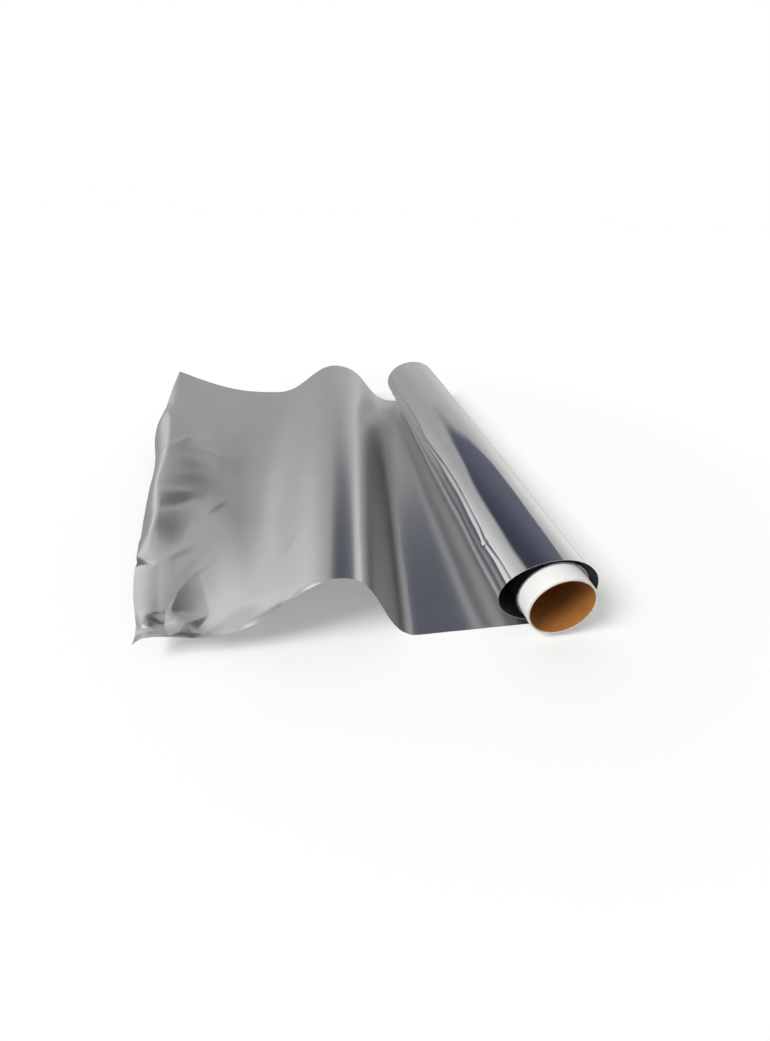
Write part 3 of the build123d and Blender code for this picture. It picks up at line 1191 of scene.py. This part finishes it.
class FOILROLL_OT_stage(bpy.types.Operator):
    """Sets up the floor, the light tent, the key light and the camera."""

    bl_idname = "foil_roll.stage"
    bl_label = "Set up studio"

    def execute(self, context):
        scene = context.scene
        stage = scene.foil_roll_stage
        scene.view_settings.view_transform = "Standard"
        self.set_world(scene, stage)
        floor = level_square("studio_floor", FLOOR_REACH, 0)
        put("studio_floor", floor, (floor_material(stage),))
        sweep = level_square("grey_sweep", TENT_RADIUS, SWEEP_HEIGHT)
        only_reflected(put("light_tent", dome_mesh(), (tent_material(),)))
        only_reflected(put("dark_flag", flag_mesh(), (flag_material(),)))
        only_reflected(put("grey_sweep", sweep, (sweep_material(),)))
        self.set_key_light(scene, stage)
        self.set_camera(scene, stage)
        return {"FINISHED"}

    def set_world(self, scene, stage):
        world = bpy.data.worlds.new("White studio")
        world.use_nodes = True
        world.node_tree.nodes.clear()
        w = Wiring(world.node_tree)
        surface = w.add("ShaderNodeOutputWorld").inputs["Surface"]
        upward = w.parts(w.place("Generated"))[2]
        given = w.ramp(upward, *AMBIENT_RISE, stage.ambient_low, stage.ambient)
        level = w.ramp(seen_flags(w), 0.0, 1.0, given, 1.0)
        w.give(surface, w.add("ShaderNodeBackground", Color=(1, 1, 1, 1), Strength=level).outputs[0])
        scene.world = world

    def set_key_light(self, scene, stage):
        lamp = bpy.data.lights.new("key_light", "SUN")
        lamp.energy = stage.key_strength
        lamp.angle = stage.key_softness
        key = bpy.data.objects.new("key_light", lamp)
        aim = -Vector(heading(stage.key_azimuth, stage.key_height))
        key.matrix_world = aim.to_track_quat("-Z", "Y").to_matrix().to_4x4()
        key.visible_glossy = False
        scene.collection.objects.link(key)

    def set_camera(self, scene, stage):
        yaw, pitch, roll = stage.camera_yaw, stage.camera_pitch, stage.camera_roll
        ahead = math.cos(pitch)
        forward = Vector((math.sin(yaw) * ahead, math.cos(yaw) * ahead, -math.sin(pitch)))
        level = Vector((math.cos(yaw), -math.sin(yaw), 0))
        upright = level.cross(forward)
        right = math.cos(roll) * level + math.sin(roll) * upright
        up = -math.sin(roll) * level + math.cos(roll) * upright
        turn = Matrix((right, up, -forward)).transposed().to_4x4()
        lens = bpy.data.cameras.new("photo_camera")
        lens.lens = stage.camera_lens
        lens.sensor_width = SENSOR_WIDTH
        lens.clip_start = NEAREST
        camera = bpy.data.objects.new("photo_camera", lens)
        camera.matrix_world = Matrix.Translation(Vector(stage.camera_place)) @ turn
        scene.collection.objects.link(camera)
        scene.camera = camera


class FOILROLL_PT_panel(bpy.types.Panel):
    """Lists the roll's pieces, its sizes, its finish and its stage."""

    bl_idname = "FOILROLL_PT_panel"
    bl_label = "Aluminium Foil Roll"
    bl_space_type = "VIEW_3D"
    bl_region_type = "UI"
    bl_category = "Foil Roll"

    def draw(self, context):
        column = self.layout.column()
        for operator in OPERATORS:
            column.operator(operator.bl_idname)
        for name, kind in GROUPS:
            box = self.layout.box()
            for field in kind.__annotations__:
                box.prop(getattr(context.scene, name), field)


OPERATORS = (FOILROLL_OT_core, FOILROLL_OT_foil, FOILROLL_OT_stage)
GROUPS = (
    ("foil_roll_sizes", FoilRollSizes),
    ("foil_roll_finish", FoilRollFinish),
    ("foil_roll_stage", FoilRollStage),
)


def register():
    for name, group in GROUPS:
        bpy.utils.register_class(group)
        setattr(bpy.types.Scene, name, PointerProperty(type=group))
    for kind in (*OPERATORS, FOILROLL_PT_panel):
        bpy.utils.register_class(kind)


def unregister():
    for kind in (FOILROLL_PT_panel, *reversed(OPERATORS)):
        bpy.utils.unregister_class(kind)
    for name, group in reversed(GROUPS):
        delattr(bpy.types.Scene, name)
        bpy.utils.unregister_class(group)


def main():
    register()
    bpy.ops.foil_roll.core()
    bpy.ops.foil_roll.foil()
    bpy.ops.foil_roll.stage()


if __name__ == "__main__":
    main()
